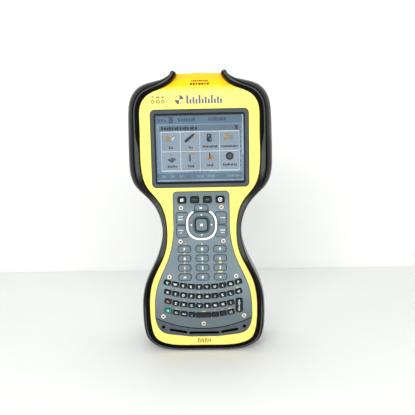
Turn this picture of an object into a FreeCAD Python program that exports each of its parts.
"""Rugged handheld survey data collector, standing on its base, in millimetres.

+Z runs up the handset, the keypad and screen face -Y, and the origin is the middle of the base
of the bounding box. Depths are counted back from the front of the rubber rim.
"""
import FreeCAD, Part
import math
import os
from FreeCAD import Vector

doc = FreeCAD.newDocument("data_collector")
sheet = doc.addObject("Spreadsheet::Sheet", "Sizes")

DRIVING = {
    # whole object
    "overall_depth": 95.0, "body_width": 140.4, "body_height": 277.4, "body_depth": 64.0,
    # outline of the rubber bumper and how far the shells lie inside it
    "waist_half": 39.4, "lower_half": 62.2, "base_half": 24.0, "rubber": 3.0, "wall": 2.5,
    "horn_half": 24.7, "horn_gap": 21.2, "bumper_depth": 30.0, "boot_height": 16.0,
    # depths behind the front of the rim
    "face_at": 2.0, "flare_at": 9.5, "seam_at": 24.75, "gasket": 1.5, "slope_top": 258.0,
    "slope_depth": 10.5,
    # screen
    "screen_width": 94.6, "screen_height": 75.2, "screen_middle": 203.7, "window_width": 85.4,
    "window_height": 64.2, "glass_width": 90.0, "glass_height": 70.0, "glass": 1.1,
    "display": 5.0,
    # keypad sandwich
    "bezel_at": 1.5, "bezel": 2.4, "seam_radius": 107.7, "seam_low": 23.1, "mat_at": 5.5,
    "mat": 1.2, "circuit": 1.6, "main_board_at": 17.5,
    # keys
    "key_at": 0.5, "flange_at": 3.95, "flange": 0.55, "key_gap": 0.3, "flange_lip": 0.45,
    "letter_pitch": 7.87, "row_pitch": 9.7, "row_low": 37.4, "row_radius": 127.8,
    "rock": 0.5, "number_pitch_x": 17.6, "number_pitch_z": 9.5, "number_low": 76.8, "app_pitch": 12.4,
    "app_row": 154.2, "nav_middle": 129.5, "ring_half": 15.2, "ring": 2.1, "pad_half": 12.6,
    # rear parts
    "battery_width": 66.0, "battery_low": 42.0, "battery_high": 106.0, "battery": 21.0,
    "door_low": 38.0, "door_high": 110.0, "door_low_half": 40.0, "door_high_half": 33.0,
    "door": 2.5, "strap_width": 48.0, "strap": 4.0, "strap_low": 21.0, "strap_high": 237.0,
    "anchor": 2.0, "stylus_radius": 4.0, "stylus_x": 44.0, "stylus_y": -3.0,
    "stylus_low": 162.3, "stylus_top": 269.5, "running_gap": 0.05, "flap": 2.0,
    "jackscrew_pitch": 25.0, "jackscrew_radius": 1.3, "charger_radius": 2.8,
}
for row, (alias, value) in enumerate(DRIVING.items(), start=1):
    sheet.set(f"A{row}", alias)
    sheet.set(f"B{row}", str(value))
    sheet.setAlias(f"B{row}", alias)
doc.recompute()


def size(alias):
    """The number in the sheet's cell of this name."""
    return float(sheet.get(alias))


FRONT = -size("overall_depth") / 2          # y of the rim's crest
UP = size("body_height")
BACK_AT = size("body_depth") - size("door")     # depth of the rear shell's back
SCREW_CENTRES = [(19.8, 146.5), (21.1, 112.9), (33.2, 77.2), (40.6, 36.3)]
BEZEL_SCREWS = [(side * x, z) for x, z in SCREW_CENTRES for side in (-1, 1)] + [(0, 28.3)]
WIDE_BOSSES = [(side * x, z) for x, z in [(57, 190), (57, 238), (50, 62)] for side in (-1, 1)]
WAIST_BOSSES = [(side * 30.4, 131) for side in (-1, 1)]
CASE_SCREWS = WIDE_BOSSES + WAIST_BOSSES
BOSS = 3.4
SCREW_HOLE = 1.5
THROUGH = 100.0         # longer than any piece is deep
LIGHTS = [(-43.9, 248.7), (-38.9, 248.7), (-34.3, 248.7)]


# ---------------------------------------------------------------- flat curves and closed loops

def flat(point):
    return Vector(point[0], point[1], 0)


def curve(kind, points):
    """One edge of a sketch: a line, an arc through three points, or a smooth curve."""
    vectors = [flat(point) for point in points]
    if kind == "line":
        return Part.LineSegment(*vectors)
    if kind == "arc":
        return Part.Arc(*vectors)
    smooth = Part.BSplineCurve()
    smooth.interpolate(vectors)
    return smooth


def symmetric(right):
    """Close a loop from its right half, listed from the bottom to the top, and its mirror image."""
    left = [(kind, [(-x, z) for x, z in reversed(points)]) for kind, points in reversed(right)]
    curves = [curve(kind, points) for kind, points in right + left]
    first, last = right[0][1][0], right[-1][1][-1]
    if last[0] > 0:
        curves.append(curve("line", [last, (-last[0], last[1])]))
    if first[0] > 0:
        curves.append(curve("line", [(-first[0], first[1]), first]))
    return curves


def inset(points, distance):
    """Move an outline's points to the left of its direction of travel by a distance."""
    moved = []
    for index, (x, z) in enumerate(points):
        before = points[max(index - 1, 0)]
        after = points[min(index + 1, len(points) - 1)]
        run, rise = after[0] - before[0], after[1] - before[1]
        length = math.hypot(run, rise)
        moved.append((x - rise / length * distance, z + run / length * distance))
    return moved


def polygon(points):
    return [curve("line", [a, b]) for a, b in zip(points, points[1:] + points[:1])]


def circle(x, z, radius):
    return [Part.Circle(flat((x, z)), Vector(0, 0, 1), radius)]


def rounded(x, z, width, height, radius, tilt=0.0):
    """A rectangle with round corners about (x, z), turned by tilt degrees."""
    turn = math.radians(tilt)

    def place(u, v):
        return (x + u * math.cos(turn) - v * math.sin(turn),
                z + u * math.sin(turn) + v * math.cos(turn))

    curves = []
    corners = [(1, -1, -90), (1, 1, 0), (-1, 1, 90), (-1, -1, 180)]
    ends = []
    for across, along, start in corners:
        u = across * (width / 2 - radius)
        v = along * (height / 2 - radius)
        angles = [math.radians(start + step) for step in (0, 45, 90)]
        points = [place(u + radius * math.cos(a), v + radius * math.sin(a)) for a in angles]
        curves.append(curve("arc", points))
        ends.append((points[0], points[2]))
    for (_, leave), (arrive, _) in zip(ends, ends[1:] + ends[:1]):
        curves.append(curve("line", [leave, arrive]))
    return curves


# ---------------------------------------------------------------- outlines of the handset

HALF = size("body_width") / 2
LOWER = size("lower_half")
WAIST = size("waist_half")
# right side of the bumper, from the base to the shoulder
SIDE = [(45, 3.6), (53.6, 8.2), (58.9, 14.8), (61.5, 24), (LOWER, 37), (61.3, 57),
        (56.3, 75), (47.9, 92), (41.6, 109), (WAIST, 123), (41, 134.5), (46.5, 147.5),
        (55.6, 158), (65, 168), (69.4, 180), (HALF, 193), (HALF - 0.2, 214),
        (69.4, 236), (66.3, 253.5), (58.5, 263.3), (46.5, 268.3)]
HORN_SIDE = [(40, 270.0), (34, 271.6), (29.8, 274.1)]
BASE = size("base_half")
HORN = size("horn_half")
GAP = size("horn_gap")


def bumper_outline():
    tip = [(HORN + 2.7, UP - 1.5), (HORN, UP), (HORN - 3.0, UP - 2.4)]
    return symmetric([
        ("smooth", [(BASE, 0)] + SIDE + HORN_SIDE + [tip[0]]),
        ("arc", tip),
        ("line", [tip[-1], (GAP, 262)]),
    ])


CROWN_HALF = 28.0       # half width of the crown that joins the two shoulders
CROWN_EDGE = 271.6
CROWN_TOP = 276.0


def shell_outline(distance):
    """The rear shell's outline, a distance inside the bumper's skin."""
    drop = distance - size("rubber")
    side = inset([(BASE, 0)] + SIDE[:-1], distance)
    edge = (CROWN_HALF, CROWN_EDGE - drop)
    return symmetric([
        ("smooth", side + [(43, 268.2 - drop), edge]),
        ("arc", [edge, (CROWN_HALF / 2, CROWN_TOP - 1.1 - drop), (0, CROWN_TOP - drop)]),
    ])


# right side of the yellow face, from the base to the shoulder
FACE_SIDE = [(20, 5.3), (40.8, 8.3), (47.9, 12.5), (51.9, 20.9), (53.7, 35), (53.6, 54),
             (50.5, 71), (43.1, 87.3), (36.2, 103.6), (34.2, 119.7), (35.2, 135.6),
             (40.7, 151.5), (46.6, 159.3), (52.5, 167.1), (55.8, 174.9), (57.4, 184),
             (57.9, 205), (57.6, 230), (55.6, 247.2)]
FACE_TOP = [(50.6, 254.0), (41, 259.2), (28.8, 265.2), (GAP + 0.9, 273)]
# right side of the grey keypad panel, from the base to the straight part above the waist
PANEL_SIDE = [(14, 14.7), (30, 16.6), (42.7, 20.3), (47.5, 28.3), (48.9, 43), (46.9, 62.7),
              (41.0, 79.2), (33.8, 95.4), (29.4, 111.7), (27.7, 125)]
PANEL_TOP = 162.5
PANEL_CORNER = 4.0


def face_outline():
    peak = (GAP, UP - 1)
    return symmetric([
        ("smooth", FACE_SIDE + FACE_TOP),
        ("line", [FACE_TOP[-1], peak]),
    ])


def face_cavity_outline():
    side = inset(FACE_SIDE, size("wall"))
    return symmetric([("smooth", side), ("line", [side[-1], (49, 255)])])


def panel_outline(distance):
    """The keypad panel's outline, a distance inside its edge."""
    side = inset(PANEL_SIDE, distance)
    side[-1] = (PANEL_SIDE[-1][0] - distance, PANEL_SIDE[-1][1])
    x = side[-1][0]
    top = PANEL_TOP - distance
    bend = PANEL_CORNER * (1 - math.sqrt(0.5))
    return symmetric([
        ("smooth", side),
        ("line", [side[-1], (x, top - PANEL_CORNER)]),
        ("arc", [(x, top - PANEL_CORNER), (x - bend, top - bend), (x - PANEL_CORNER, top)]),
    ])


# ---------------------------------------------------------------- feature helpers

PLANES = {"front": "XZ_Plane", "top": "XY_Plane", "side": "YZ_Plane"}


def in_sheet(value):
    """Cell names in an expression become references to the sheet; numbers stay."""
    words = str(value).replace("(", "( ").replace(")", " )").split()
    return " ".join("Sizes." + word if word in DRIVING else word for word in words)


def sketch_on(body, plane, start, loops):
    sketch = body.newObject("Sketcher::SketchObject", body.Label + "_sketch")
    origin = [f for f in body.Origin.OriginFeatures if f.Role == PLANES[plane]][0]
    sketch.AttachmentSupport = [(origin, "")]
    sketch.MapMode = "FlatFace"
    offset = in_sheet(start)
    if plane == "front":
        offset = f"Sizes.overall_depth / 2 - ({offset})"
    sketch.setExpression("AttachmentOffset.Base.z", offset)
    sketch.addGeometry([edge for loop in loops for edge in loop], False)
    return sketch


def pad(body, plane, start, length, loops):
    """Add material from start: backward on the front plane, and along +Z or +X on the others."""
    feature = body.newObject("PartDesign::Pad", body.Label + "_pad")
    feature.Profile = sketch_on(body, plane, start, loops)
    feature.Reversed = plane == "front"
    feature.setExpression("Length", in_sheet(length))
    return feature


def pocket(body, plane, start, length, loops):
    """Remove material over the same stretch that pad would fill."""
    feature = body.newObject("PartDesign::Pocket", body.Label + "_pocket")
    feature.Profile = sketch_on(body, plane, start, loops)
    feature.Reversed = plane != "front"
    feature.setExpression("Length", in_sheet(length))
    doc.recompute()
    if feature.Shape.Volume > feature.BaseFeature.Shape.Volume - 1e-3:
        raise RuntimeError(f"{feature.Label} removes nothing")
    return feature


NODES = []


def new_body(label):
    body = doc.addObject("PartDesign::Body", label)
    body.AllowCompound = True
    NODES.append(body)
    return body


# ---------------------------------------------------------------- keys

def key_cap(label, outlines):
    """Keys that slide through the panel, each with a lip behind it.

    outlines(grow) gives the keys' loops, made larger by grow on every side.
    """
    body = new_body(label)
    pad(body, "front", "key_at", "flange_at - key_at", outlines(0))
    pad(body, "front", "flange_at", "flange", outlines(size("flange_lip")))
    return body


def letter_place(column, row):
    """Middle and tilt of a small key: the rows hang in arcs that open upward."""
    x = (column - 4.5) * size("letter_pitch")
    radius = size("row_radius")
    lift = radius - math.sqrt(radius ** 2 - x ** 2)
    return x, size("row_low") + row * size("row_pitch") + lift, math.degrees(math.asin(x / radius))


def plain_keys(places, width, height, corner):
    def outlines(grow):
        return [rounded(x, z, width + 2 * grow, height + 2 * grow, corner + grow, tilt)
                for x, z, tilt in places]
    return outlines


KEY_SHAPES = {}
LETTER = (6.5, 4.8, 1.1)
LETTER_ROWS = {
    "letter_keys_bottom_row": [(column, 0) for column in (1, 2, 3, 6, 7, 8)],
    "letter_keys_lower_row": [(column, 1) for column in range(9)],
    "letter_keys_home_row": [(column, 2) for column in range(10)],
    "letter_keys_upper_row": [(column, 3) for column in range(10)],
}
for name, cells in LETTER_ROWS.items():
    KEY_SHAPES[name] = plain_keys([letter_place(*cell) for cell in cells], *LETTER)
KEY_SHAPES["power_key"] = plain_keys([letter_place(0, 0)], *LETTER)
KEY_SHAPES["space_key"] = plain_keys([letter_place(4.5, 0)], 15.0, 4.7, 1.1)
KEY_SHAPES["enter_key"] = plain_keys([(35.9, 47.4, 0)], 6.5, 14.2, 1.6)

NUMBERS = ["minus", "0", "point", "1", "2", "3", "4", "5", "6", "7", "8", "9"]
for index, name in enumerate(NUMBERS):
    x = (index % 3 - 1) * size("number_pitch_x")
    z = size("number_low") + index // 3 * size("number_pitch_z")
    KEY_SHAPES[f"key_{name}"] = plain_keys([(x, z, 0)], 12.4, 6.6, 2.4)

for index, name in enumerate(["home_key", "a_key", "b_key", "accept_key"]):
    x = (index - 1.5) * size("app_pitch")
    KEY_SHAPES[name] = plain_keys([(x, size("app_row"), 0)], 8.0, 6.4, 1.4)
KEY_SHAPES["tab_key"] = plain_keys([(0, 146.2, 0)], 13.0, 6.0, 2.6)

NAV = size("nav_middle")
RING = size("ring_half")
PAD = size("pad_half")
CENTRE_HOLE = (14.0, 14.6, 4.2)     # opening in the pad around the centre key
KEY_SHAPES["centre_key"] = plain_keys([(0, NAV, 0)], 12.0, 12.8, 3.4)


def nav_pad_outlines(grow):
    return [rounded(0, NAV, 2 * PAD + 2 * grow, 2 * PAD + 2 * grow, 7.5 + grow)]


SIDE_KEYS = {
    "upper_left_key": (-1, 1), "lower_left_key": (-1, -1),
    "upper_right_key": (1, 1), "lower_right_key": (1, -1),
}
SIDE_KEY_WIDTH = 11.0
SIDE_KEY_HEIGHT = 11.8
SIDE_KEY_X = 19.1
SIDE_KEY_RISE = 6.5


def side_key(across, along):
    place = (across * SIDE_KEY_X, NAV + along * SIDE_KEY_RISE, 0)
    return plain_keys([place], SIDE_KEY_WIDTH, SIDE_KEY_HEIGHT, 2.2)


def ring_loop(grow):
    """The navigation ring's outer edge, made larger by grow."""
    return rounded(0, NAV, 2 * (RING + grow), 2 * (RING + 0.2 + grow), 9.6 + grow)


def make_keys():
    for label, outlines in KEY_SHAPES.items():
        key_cap(label, outlines)
    pad_body = new_body("nav_pad")
    pad(pad_body, "front", "key_at", "flange_at + rock - key_at", nav_pad_outlines(0))
    pad(pad_body, "front", "flange_at + rock", "flange - 0.1",
        nav_pad_outlines(size("flange_lip")))
    pocket(pad_body, "front", 0, "mat_at", [rounded(0, NAV, *CENTRE_HOLE)])
    for label, (across, along) in SIDE_KEYS.items():
        body = key_cap(label, side_key(across, along))
        pocket(body, "front", 0, "mat_at", [ring_loop(0.6)])


# ---------------------------------------------------------------- front parts

def make_front_housing():
    body = new_body("front_housing")
    pad(body, "front", "face_at", "flare_at - face_at", [face_outline()])
    pad(body, "front", "flare_at", "seam_at - flare_at", [shell_outline(size("rubber"))])
    pocket(body, "front", "face_at + wall", "seam_at", [face_cavity_outline()])
    inner = shell_outline(size("rubber") + size("wall"))
    pocket(body, "front", "flare_at + wall", "seam_at", [inner])
    screen = rounded(0, size("screen_middle"), size("screen_width"), size("screen_height"), 4.5)
    pocket(body, "front", 0, "face_at + wall", [screen])
    pocket(body, "front", 0, "face_at + wall", [panel_outline(0)])
    pocket(body, "front", 0, "face_at + wall + 1", [circle(x, z, 1.3) for x, z in LIGHTS])
    # the crown falls back from the face at the top
    start, rear = size("slope_top"), FRONT + size("face_at") + size("slope_depth")
    wedge = [(FRONT, start - 4), (FRONT + size("face_at"), start), (rear, CROWN_TOP),
             (rear, UP + 5), (FRONT, UP + 5)]
    pocket(body, "side", "- body_width / 2", "body_width", [polygon(wedge)])
    pad(body, "front", "flare_at + wall", "seam_at - flare_at - wall",
        [circle(x, z, BOSS) for x, z in WIDE_BOSSES])
    pad(body, "front", "face_at + wall", "seam_at - face_at - wall",
        [circle(x, z, BOSS) for x, z in WAIST_BOSSES])
    pocket(body, "front", "flare_at + wall + 2", "seam_at",
           [circle(x, z, SCREW_HOLE) for x, z in CASE_SCREWS])


def make_rubber_bumper():
    body = new_body("rubber_bumper")
    outline = bumper_outline()
    pad(body, "front", 0, "bumper_depth", [outline])
    pad(body, "front", "bumper_depth", "body_depth - 4 - bumper_depth", [outline])
    above = [(-HALF - 5, size("boot_height")), (HALF + 5, size("boot_height")),
             (HALF + 5, UP + 5), (-HALF - 5, UP + 5)]
    pocket(body, "front", "bumper_depth", "body_depth", [polygon(above)])
    pocket(body, "front", -1, "flare_at + 1", [face_outline()])
    pocket(body, "front", "flare_at", "body_depth", [shell_outline(size("rubber"))])
    pocket(body, "top", -1, 6, [connector_window(1.5)])


def make_screen():
    bezel = new_body("screen_bezel")
    outer = rounded(0, size("screen_middle"), size("screen_width"), size("screen_height"), 4.5)
    window = rounded(0, size("screen_middle"), size("window_width"), size("window_height"), 0.8)
    pad(bezel, "front", "bezel_at", "bezel + 0.1", [outer, window])

    glass = new_body("touch_glass")
    pane = rounded(0, size("screen_middle"), size("glass_width"), size("glass_height"), 2)
    pad(glass, "front", "bezel_at + bezel + 0.1", "glass", [pane])

    display = new_body("lcd_module")
    slab = rounded(0, size("screen_middle"), size("glass_width"), size("glass_height"), 1)
    pad(display, "front", "bezel_at + bezel + 0.1 + glass", "display", [slab])


def seam_cut(above):
    """A region below or above the curved seam between the keypad panel and the speaker cover."""
    reach = 60.0
    radius, low = size("seam_radius"), size("seam_low")
    ends_z = low + radius - math.sqrt(radius ** 2 - reach ** 2)
    far = 0.0 if above else 180.0
    left, right = (-reach, ends_z), (reach, ends_z)
    return [curve("arc", [left, (0, low), right]), curve("line", [right, (reach, far)]),
            curve("line", [(reach, far), (-reach, far)]), curve("line", [(-reach, far), left])]


def key_holes():
    grow = size("key_gap")
    loops = []
    for outlines in KEY_SHAPES.values():
        if outlines is not KEY_SHAPES["centre_key"]:
            loops += outlines(grow)
    return loops


def make_keypad_panel():
    bezel = new_body("keypad_bezel")
    pad(bezel, "front", "bezel_at", "bezel", [panel_outline(0)])
    pocket(bezel, "front", 0, "mat_at", [seam_cut(above=True)])
    pocket(bezel, "front", 0, "mat_at", key_holes())
    pocket(bezel, "front", 0, "mat_at", nav_pad_outlines(size("key_gap")))
    pocket(bezel, "front", 0, "mat_at",
           [side_key(*sides)(size("key_gap"))[0] for sides in SIDE_KEYS.values()])
    pad(bezel, "front", "bezel_at + 0.8", "bezel - 0.8",
        [ring_loop(0.3), nav_pad_outlines(size("key_gap"))[0]])
    pocket(bezel, "front", 0, "bezel_at + 0.8", [ring_loop(0.3)])
    pocket(bezel, "front", 0, "mat_at", KEY_SHAPES["tab_key"](size("key_gap")))
    pocket(bezel, "front", 0, "mat_at", [circle(x, z, 1.25) for x, z in BEZEL_SCREWS])
    pocket(bezel, "front", 0, "bezel_at + 1.2", [circle(x, z, 2.4) for x, z in BEZEL_SCREWS])

    ring = new_body("nav_ring")
    inner = rounded(0, NAV, 2 * (RING - size("ring")), 2 * (RING + 0.2 - size("ring")), 7.5)
    pad(ring, "front", "bezel_at - 0.2", "1.0", [ring_loop(0), inner])
    mouth = [(-7, NAV + 8), (7, NAV + 8), (7, NAV + 20), (-7, NAV + 20)]
    pocket(ring, "front", 0, "mat_at", [polygon(mouth)])

    cover = new_body("speaker_cover")
    pad(cover, "front", "bezel_at", "bezel", [panel_outline(0)])
    pocket(cover, "front", 0, "mat_at", [seam_cut(above=False)])
    slots = [rounded(-25.5, 20.9, 17.4, 1.9, 0.9, -10), rounded(25.9, 20.9, 17.4, 1.9, 0.9, 10),
             rounded(0.2, 18.9, 29.8, 1.9, 0.9)]
    pocket(cover, "front", 0, "mat_at", slots + [circle(side * 40.8, 25, 1.3) for side in (-1, 1)])


def sandwich_layer(label, start, thickness):
    """A sheet behind the keypad panel, with holes for the panel's screws."""
    body = new_body(label)
    pad(body, "front", start, thickness, [panel_outline(1.2)])
    pocket(body, "front", 0, THROUGH, [seam_cut(above=True)])
    pocket(body, "front", 0, THROUGH, [circle(x, z, 1.3) for x, z in BEZEL_SCREWS])


def make_electronics():
    sandwich_layer("keypad_mat", "mat_at", "mat")
    sandwich_layer("keypad_board", "mat_at + mat", "circuit")

    board = new_body("main_board")
    steps = [(38, 34), (38, 90), (24, 104), (24, 168), (48, 176), (48, 250)]
    right = [("line", [a, b]) for a, b in zip(steps, steps[1:])]
    pad(board, "front", "main_board_at", "circuit", [symmetric(right)])
    chips = [rounded(0, 205, 42, 34, 2), rounded(-14, 140, 16, 30, 2), rounded(18, 66, 30, 26, 2)]
    pad(board, "front", "main_board_at + circuit", "3", chips)

    speakers = new_body("speakers")
    pad(speakers, "front", "mat_at + mat + circuit + 0.7", "4.5",
        [circle(side * 26, 21.5, 8.5) for side in (-1, 1)])

    lights = new_body("indicator_lights")
    pad(lights, "front", "face_at - 0.2", "wall + 0.2", [circle(x, z, 1.3) for x, z in LIGHTS])

    antenna = new_body("antenna_board")
    pad(antenna, "top", 255, "circuit", [rounded(0, -3, 40, 26, 1)])
    pad(antenna, "top", "255 + circuit", "4", [rounded(0, -3, 25, 25, 1)])


def make_screws():
    front = new_body("bezel_screws")
    pad(front, "front", "bezel_at - 0.2", "1.35", [circle(x, z, 2.3) for x, z in BEZEL_SCREWS])
    pad(front, "front", "bezel_at + 1.15", "mat_at + mat + circuit - bezel_at - 0.6",
        [circle(x, z, 1.2) for x, z in BEZEL_SCREWS])

    rear = new_body("case_screws")
    pad(rear, "front", f"{BACK_AT} - 1.6", "1.5", [circle(x, z, 2.9) for x, z in CASE_SCREWS])
    pad(rear, "front", "flare_at + wall + 5", f"{BACK_AT} - 1.6 - flare_at - wall - 5",
        [circle(x, z, 1.45) for x, z in CASE_SCREWS])


# ---------------------------------------------------------------- rear parts

REAR_AT = "seam_at + gasket"
STYLUS = (size("stylus_x"), size("stylus_y"))
BAY_WALL = 2.0
REAR_BEVEL = 5.0        # depth of the sloped edge round the rear shell
CAMERA = [(-7, 256, 6.0), (7, 256, 3.0)]
CAP_FLOOR = 262.0
CAP_Y = -3.5            # middle of the hollow for the antenna's cap
CAP_DEPTH = 28.0
STYLUS_TUBE_LOW = 160.0
STYLUS_TUBE_TOP = 266.0
FLAP_Y = -7.0           # middle of the side connectors and of the cover over them
FLAP_Z = 42.0
FLAP_WIDTH = 18.0
FLAP_HEIGHT = 30.0
CONNECTOR_Y = 0.0
LATCHES = [(-26, 102), (26, 102)]
LATCH_SIZE = (10.0, 6.0)
LATCH_TRAVEL = 3.0
ANCHOR_HEIGHT = 12.0


def connector_window(grow):
    return rounded(4, CONNECTOR_Y, 42 + 2 * grow, 13 + 2 * grow, 2)


def battery_bay(grow):
    middle = (size("battery_low") + size("battery_high")) / 2
    height = size("battery_high") - size("battery_low")
    return rounded(0, middle, size("battery_width") + 2 * grow, height + 2 * grow, 2 + grow)


def make_rear_housing():
    body = new_body("rear_housing")
    depth = f"{BACK_AT} - seam_at - gasket"
    pad(body, "front", REAR_AT, f"{depth} - {REAR_BEVEL}", [shell_outline(size("rubber"))])
    bevel = body.newObject("PartDesign::AdditiveLoft", "rear_housing_bevel")
    bevel.Profile = sketch_on(body, "front", f"{BACK_AT} - {REAR_BEVEL}",
                              [shell_outline(size("rubber"))])
    bevel.Sections = [sketch_on(body, "front", BACK_AT, [shell_outline(size("rubber") + 4)])]
    bevel.Ruled = True
    doc.recompute()
    pocket(body, "front", REAR_AT, f"{depth} - {REAR_BEVEL}",
           [shell_outline(size("rubber") + size("wall"))])
    pocket(body, "front", REAR_AT, f"{depth} - wall",
           [shell_outline(size("rubber") + size("wall") + 3)])
    bosses = [circle(x, z, BOSS) for x, z in CASE_SCREWS]
    pad(body, "front", REAR_AT, depth, bosses + [battery_bay(BAY_WALL + 0.3)])
    bay_at = f"{BACK_AT} - battery - 0.3"
    pocket(body, "front", REAR_AT, f"{bay_at} - seam_at - gasket - {BAY_WALL}",
           [battery_bay(BAY_WALL + 0.31)])
    pocket(body, "front", bay_at, "body_depth", [battery_bay(0.3)])
    # stylus tube
    x, y = STYLUS
    bore = size("stylus_radius") + size("running_gap")
    pad(body, "top", STYLUS_TUBE_LOW, STYLUS_TUBE_TOP - STYLUS_TUBE_LOW,
        [circle(x, y, bore + 1.6)])
    pocket(body, "top", STYLUS_TUBE_LOW + 2, THROUGH + 20, [circle(x, y, bore)])
    # holes for screws, camera, connectors and crown cap
    pocket(body, "front", 0, THROUGH, [circle(x, z, SCREW_HOLE) for x, z in CASE_SCREWS])
    pocket(body, "front", f"{BACK_AT} - 1.65", 5, [circle(x, z, 3.0) for x, z in CASE_SCREWS])
    pocket(body, "front", f"{BACK_AT} - 1.5", 5, [circle(*place) for place in CAMERA])
    pocket(body, "top", -1, 12, [connector_window(0.2)])
    pocket(body, "side", "- body_width / 2", 16,
           [rounded(FLAP_Y, FLAP_Z, FLAP_WIDTH - 4, FLAP_HEIGHT - 4, 2)])
    pocket(body, "top", CAP_FLOOR, 20, [rounded(0, CAP_Y, 2 * CROWN_HALF, CAP_DEPTH, 0.4)])
    # raised seats for the strap's ends
    seats = [rounded(0, z, size("strap_width") + 4, ANCHOR_HEIGHT + 2, 3)
             for z in (size("strap_low"), size("strap_high"))]
    pad(body, "front", BACK_AT, "door", seats)


def make_gasket():
    body = new_body("housing_gasket")
    rubber, wall = size("rubber"), size("wall")
    pad(body, "front", "seam_at", "gasket", [shell_outline(rubber)])
    pocket(body, "front", "seam_at - 1", "gasket + 2", [shell_outline(rubber + wall)])


def make_battery():
    pack = new_body("battery_pack")
    pad(pack, "front", f"{BACK_AT} - battery", "battery - 0.2", [battery_bay(0)])

    door = new_body("battery_door")
    low, high = size("door_low"), size("door_high")
    right = [("line", [(size("door_low_half"), low), (size("door_low_half"), 68)]),
             ("line", [(size("door_low_half"), 68), (size("door_high_half"), high)])]
    pad(door, "front", f"{BACK_AT} + 0.05", "door - 0.05", [symmetric(right)])
    grips = [rounded(0, 46 + 4 * step, 22, 1.6, 0.7) for step in range(3)]
    pad(door, "front", "body_depth", "0.8", grips)
    width, height = LATCH_SIZE
    slots = [rounded(x - math.copysign(LATCH_TRAVEL / 2, x), z, width + LATCH_TRAVEL + 0.4,
                     height + 0.4, 0.8) for x, z in LATCHES]
    pocket(door, "front", 0, THROUGH, slots)
    for (x, z), label in zip(LATCHES, ("battery_latch_left", "battery_latch_right")):
        latch = new_body(label)
        pad(latch, "front", f"{BACK_AT} + 0.2", "door + 0.6", [rounded(x, z, width, height, 0.6)])


def make_crown_cap():
    body = new_body("antenna_cap")
    edge = (CROWN_HALF - 1.0, CROWN_EDGE + 0.3)
    right = [("line", [(CROWN_HALF - 1.0, CAP_FLOOR), edge]),
             ("arc", [edge, (CROWN_HALF / 2, CROWN_TOP - 1.0), (0, CROWN_TOP)])]
    depth = CAP_DEPTH - 0.6
    pad(body, "front", CAP_Y - FRONT - depth / 2, depth, [symmetric(right)])


def make_camera():
    body = new_body("camera_window")
    pad(body, "front", f"{BACK_AT} - 1.5", "1.9", [circle(x, z, r - 0.02) for x, z, r in CAMERA])


def make_connectors():
    lower = new_body("bottom_connectors")
    flange_z = size("rubber") + 2.0
    pad(lower, "top", flange_z, 9, [connector_window(0)])
    shell_width, shell_depth, shell_wall = 17.6, 9.0, 0.6
    outer = rounded(0, CONNECTOR_Y, shell_width, shell_depth, 2)
    inner = rounded(0, CONNECTOR_Y, shell_width - 2 * shell_wall, shell_depth - 2 * shell_wall, 1.4)
    pad(lower, "top", 0.8, f"{flange_z} - 0.8", [outer, inner])
    half = size("jackscrew_pitch") / 2
    screws = [circle(side * half, CONNECTOR_Y, size("jackscrew_radius")) for side in (-1, 1)]
    pocket(lower, "top", flange_z - 1, 6, screws)
    pocket(lower, "top", flange_z - 1, 8, [circle(20.5, CONNECTOR_Y, size("charger_radius"))])

    side = new_body("side_connectors")
    left = -size("lower_half") + size("rubber")
    pad(side, "side", left + 1.5, 11,
        [rounded(FLAP_Y, FLAP_Z, FLAP_WIDTH - 4.4, FLAP_HEIGHT - 4.4, 1.6)])
    pocket(side, "side", left, 8, [rounded(FLAP_Y, FLAP_Z + 6, 5.2, 13, 0.6),
                                   rounded(FLAP_Y, FLAP_Z - 7, 3.4, 7.4, 0.6)])

    flap = new_body("port_cover")
    pad(flap, "side", left - 0.2 - size("flap"), "flap",
        [rounded(FLAP_Y, FLAP_Z, FLAP_WIDTH, FLAP_HEIGHT, 2.5)])


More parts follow.
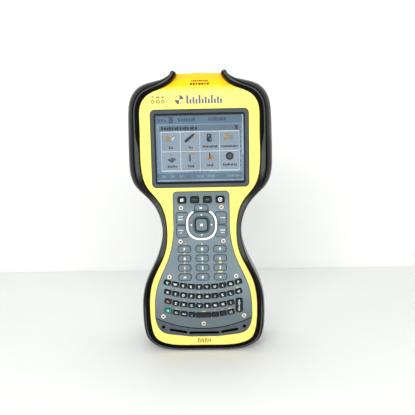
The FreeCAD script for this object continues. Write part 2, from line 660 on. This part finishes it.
def make_strap():
    strap = new_body("hand_strap")
    half = size("strap_width") / 2
    back = FRONT + size("body_depth")
    out = size("overall_depth") / 2
    thick = size("strap")
    low, high = size("strap_low"), size("strap_high")
    middle = (low + high) / 2
    tab = ANCHOR_HEIGHT / 2
    rises = [(tab + 1.5, 0.0), (14, 0.30), (30, 0.68), (56, 0.93), (84, 0.995)]
    reach = out - back - thick

    def side_curve(extra):
        points = [(back + extra + reach * share, low + rise) for rise, share in rises]
        points.append((back + extra + reach, middle))
        points += [(y, low + high - z) for y, z in reversed(points[:-1])]
        return points

    inner, outer = side_curve(0), side_curve(thick)
    ends = [(back, low - tab), (back + thick, low - tab)]
    tops = [(y, low + high - z) for y, z in ends]
    loop = [curve("smooth", inner), curve("smooth", list(reversed(outer))),
            curve("line", [outer[0], ends[1]]), curve("line", [ends[1], ends[0]]),
            curve("line", [ends[0], inner[0]]), curve("line", [inner[-1], tops[0]]),
            curve("line", [tops[0], tops[1]]), curve("line", [tops[1], outer[-1]])]
    pad(strap, "side", -half, "strap_width", [loop])

    anchors = new_body("strap_anchors")
    plates = [rounded(0, z, size("strap_width") + 2, ANCHOR_HEIGHT - 2, 2) for z in (low, high)]
    pad(anchors, "front", "body_depth + strap", "anchor", plates)


def make_stylus():
    body = new_body("stylus")
    x, y = STYLUS
    radius = size("stylus_radius")
    low, top = size("stylus_low"), size("stylus_top")
    sketch = body.newObject("Sketcher::SketchObject", "stylus_sketch")
    plane = [f for f in body.Origin.OriginFeatures if f.Role == "XZ_Plane"][0]
    sketch.AttachmentSupport = [(plane, "")]
    sketch.MapMode = "FlatFace"
    sketch.setExpression("AttachmentOffset.Base.z", "- Sizes.stylus_y")
    outline = [(0, low), (0.8, low), (radius, low + 12), (radius, top - 1), (radius - 1, top),
               (0, top)]
    sketch.addGeometry(polygon([(x + u, z) for u, z in outline]), False)
    sketch.addGeometry(curve("line", [(x, low), (x, top)]), True)
    turned = body.newObject("PartDesign::Revolution", "stylus_revolution")
    turned.Profile = sketch
    turned.ReferenceAxis = (sketch, ["Axis0"])
    turned.Angle = 360


make_front_housing()
make_rear_housing()
make_rubber_bumper()
make_gasket()
make_screen()
make_keypad_panel()
make_electronics()
make_screws()
make_battery()
make_crown_cap()
make_camera()
make_connectors()
make_strap()
make_stylus()
make_keys()
doc.recompute()

for item in doc.Objects:
    if "Invalid" in item.State or "Error" in item.State:
        raise RuntimeError(f"{item.Label} failed: {item.State}")
os.makedirs("parts", exist_ok=True)
for node in NODES:
    if node.Shape.isNull() or not node.Shape.isValid() or node.Shape.Volume <= 0:
        raise RuntimeError(f"{node.Label} has no valid solid")
    node.Shape.exportStep(f"parts/{node.Label}.step")
print(len(NODES), "nodes written")
